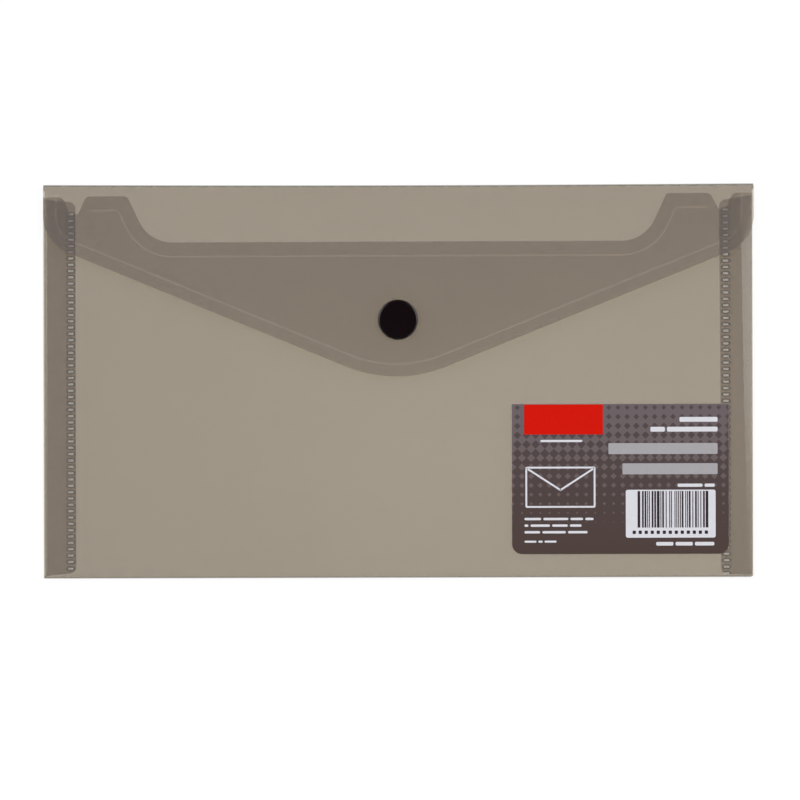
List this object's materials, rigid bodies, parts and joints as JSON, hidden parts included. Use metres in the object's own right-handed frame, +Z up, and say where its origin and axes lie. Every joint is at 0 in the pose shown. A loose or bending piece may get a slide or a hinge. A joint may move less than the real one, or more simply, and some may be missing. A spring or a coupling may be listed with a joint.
{
  "type": "plastic button envelope",
  "caption": "Flat envelope of smoke-tinted plastic film for folded letters, with a pointed flap closed by a press snap and a printed label on the pocket.",
  "frame": {"origin": "under the middle of the envelope, on the surface it lies on", "axes": "+X along the width, +Y from the bottom fold to the top crease, +Z up through the button, away from the back panel"},
  "size_m": [0.2254, 0.1248, 0.006],
  "materials": {
    "smoke_film": "smooth satin polypropylene film, smoke grey-brown, see-through",
    "black_snap": "moulded plastic, polished black",
    "label_print": "printed paper label, dark grey, slight sheen"
  },
  "bodies": {
    "back": {"back_panel": "smoke_film", "top_crease": "smoke_film", "bottom_fold": "smoke_film", "left_side_fold": "smoke_film", "right_side_fold": "smoke_film", "left_side_strip": "smoke_film", "right_side_strip": "smoke_film"},
    "front": {"front_panel": "smoke_film", "button_stud": "black_snap", "stud_cap": "black_snap", "label": "label_print"},
    "flap": {"flap": "smoke_film", "button_socket": "black_snap", "button_cap": "black_snap"}
  },
  "joints": [
    {"name": "flap_hinge", "type": "hinge", "parent": "back", "child": "flap", "pos_m": [0, 0.06118, 0.00118], "axis": [-1, 0, 0], "range_deg": [0, 175], "deforming": ["top_crease"]},
    {"name": "pocket_mouth", "type": "hinge", "parent": "back", "child": "front", "pos_m": [0, -0.06143, 0.00093], "axis": [1, 0, 0], "range_deg": [0, 3], "deforming": ["bottom_fold", "left_side_fold", "right_side_fold"]}
  ],
  "couplings": [
    {"joint": "pocket_mouth", "follows": "flap_hinge", "ratio": 0.01714}
  ]
}
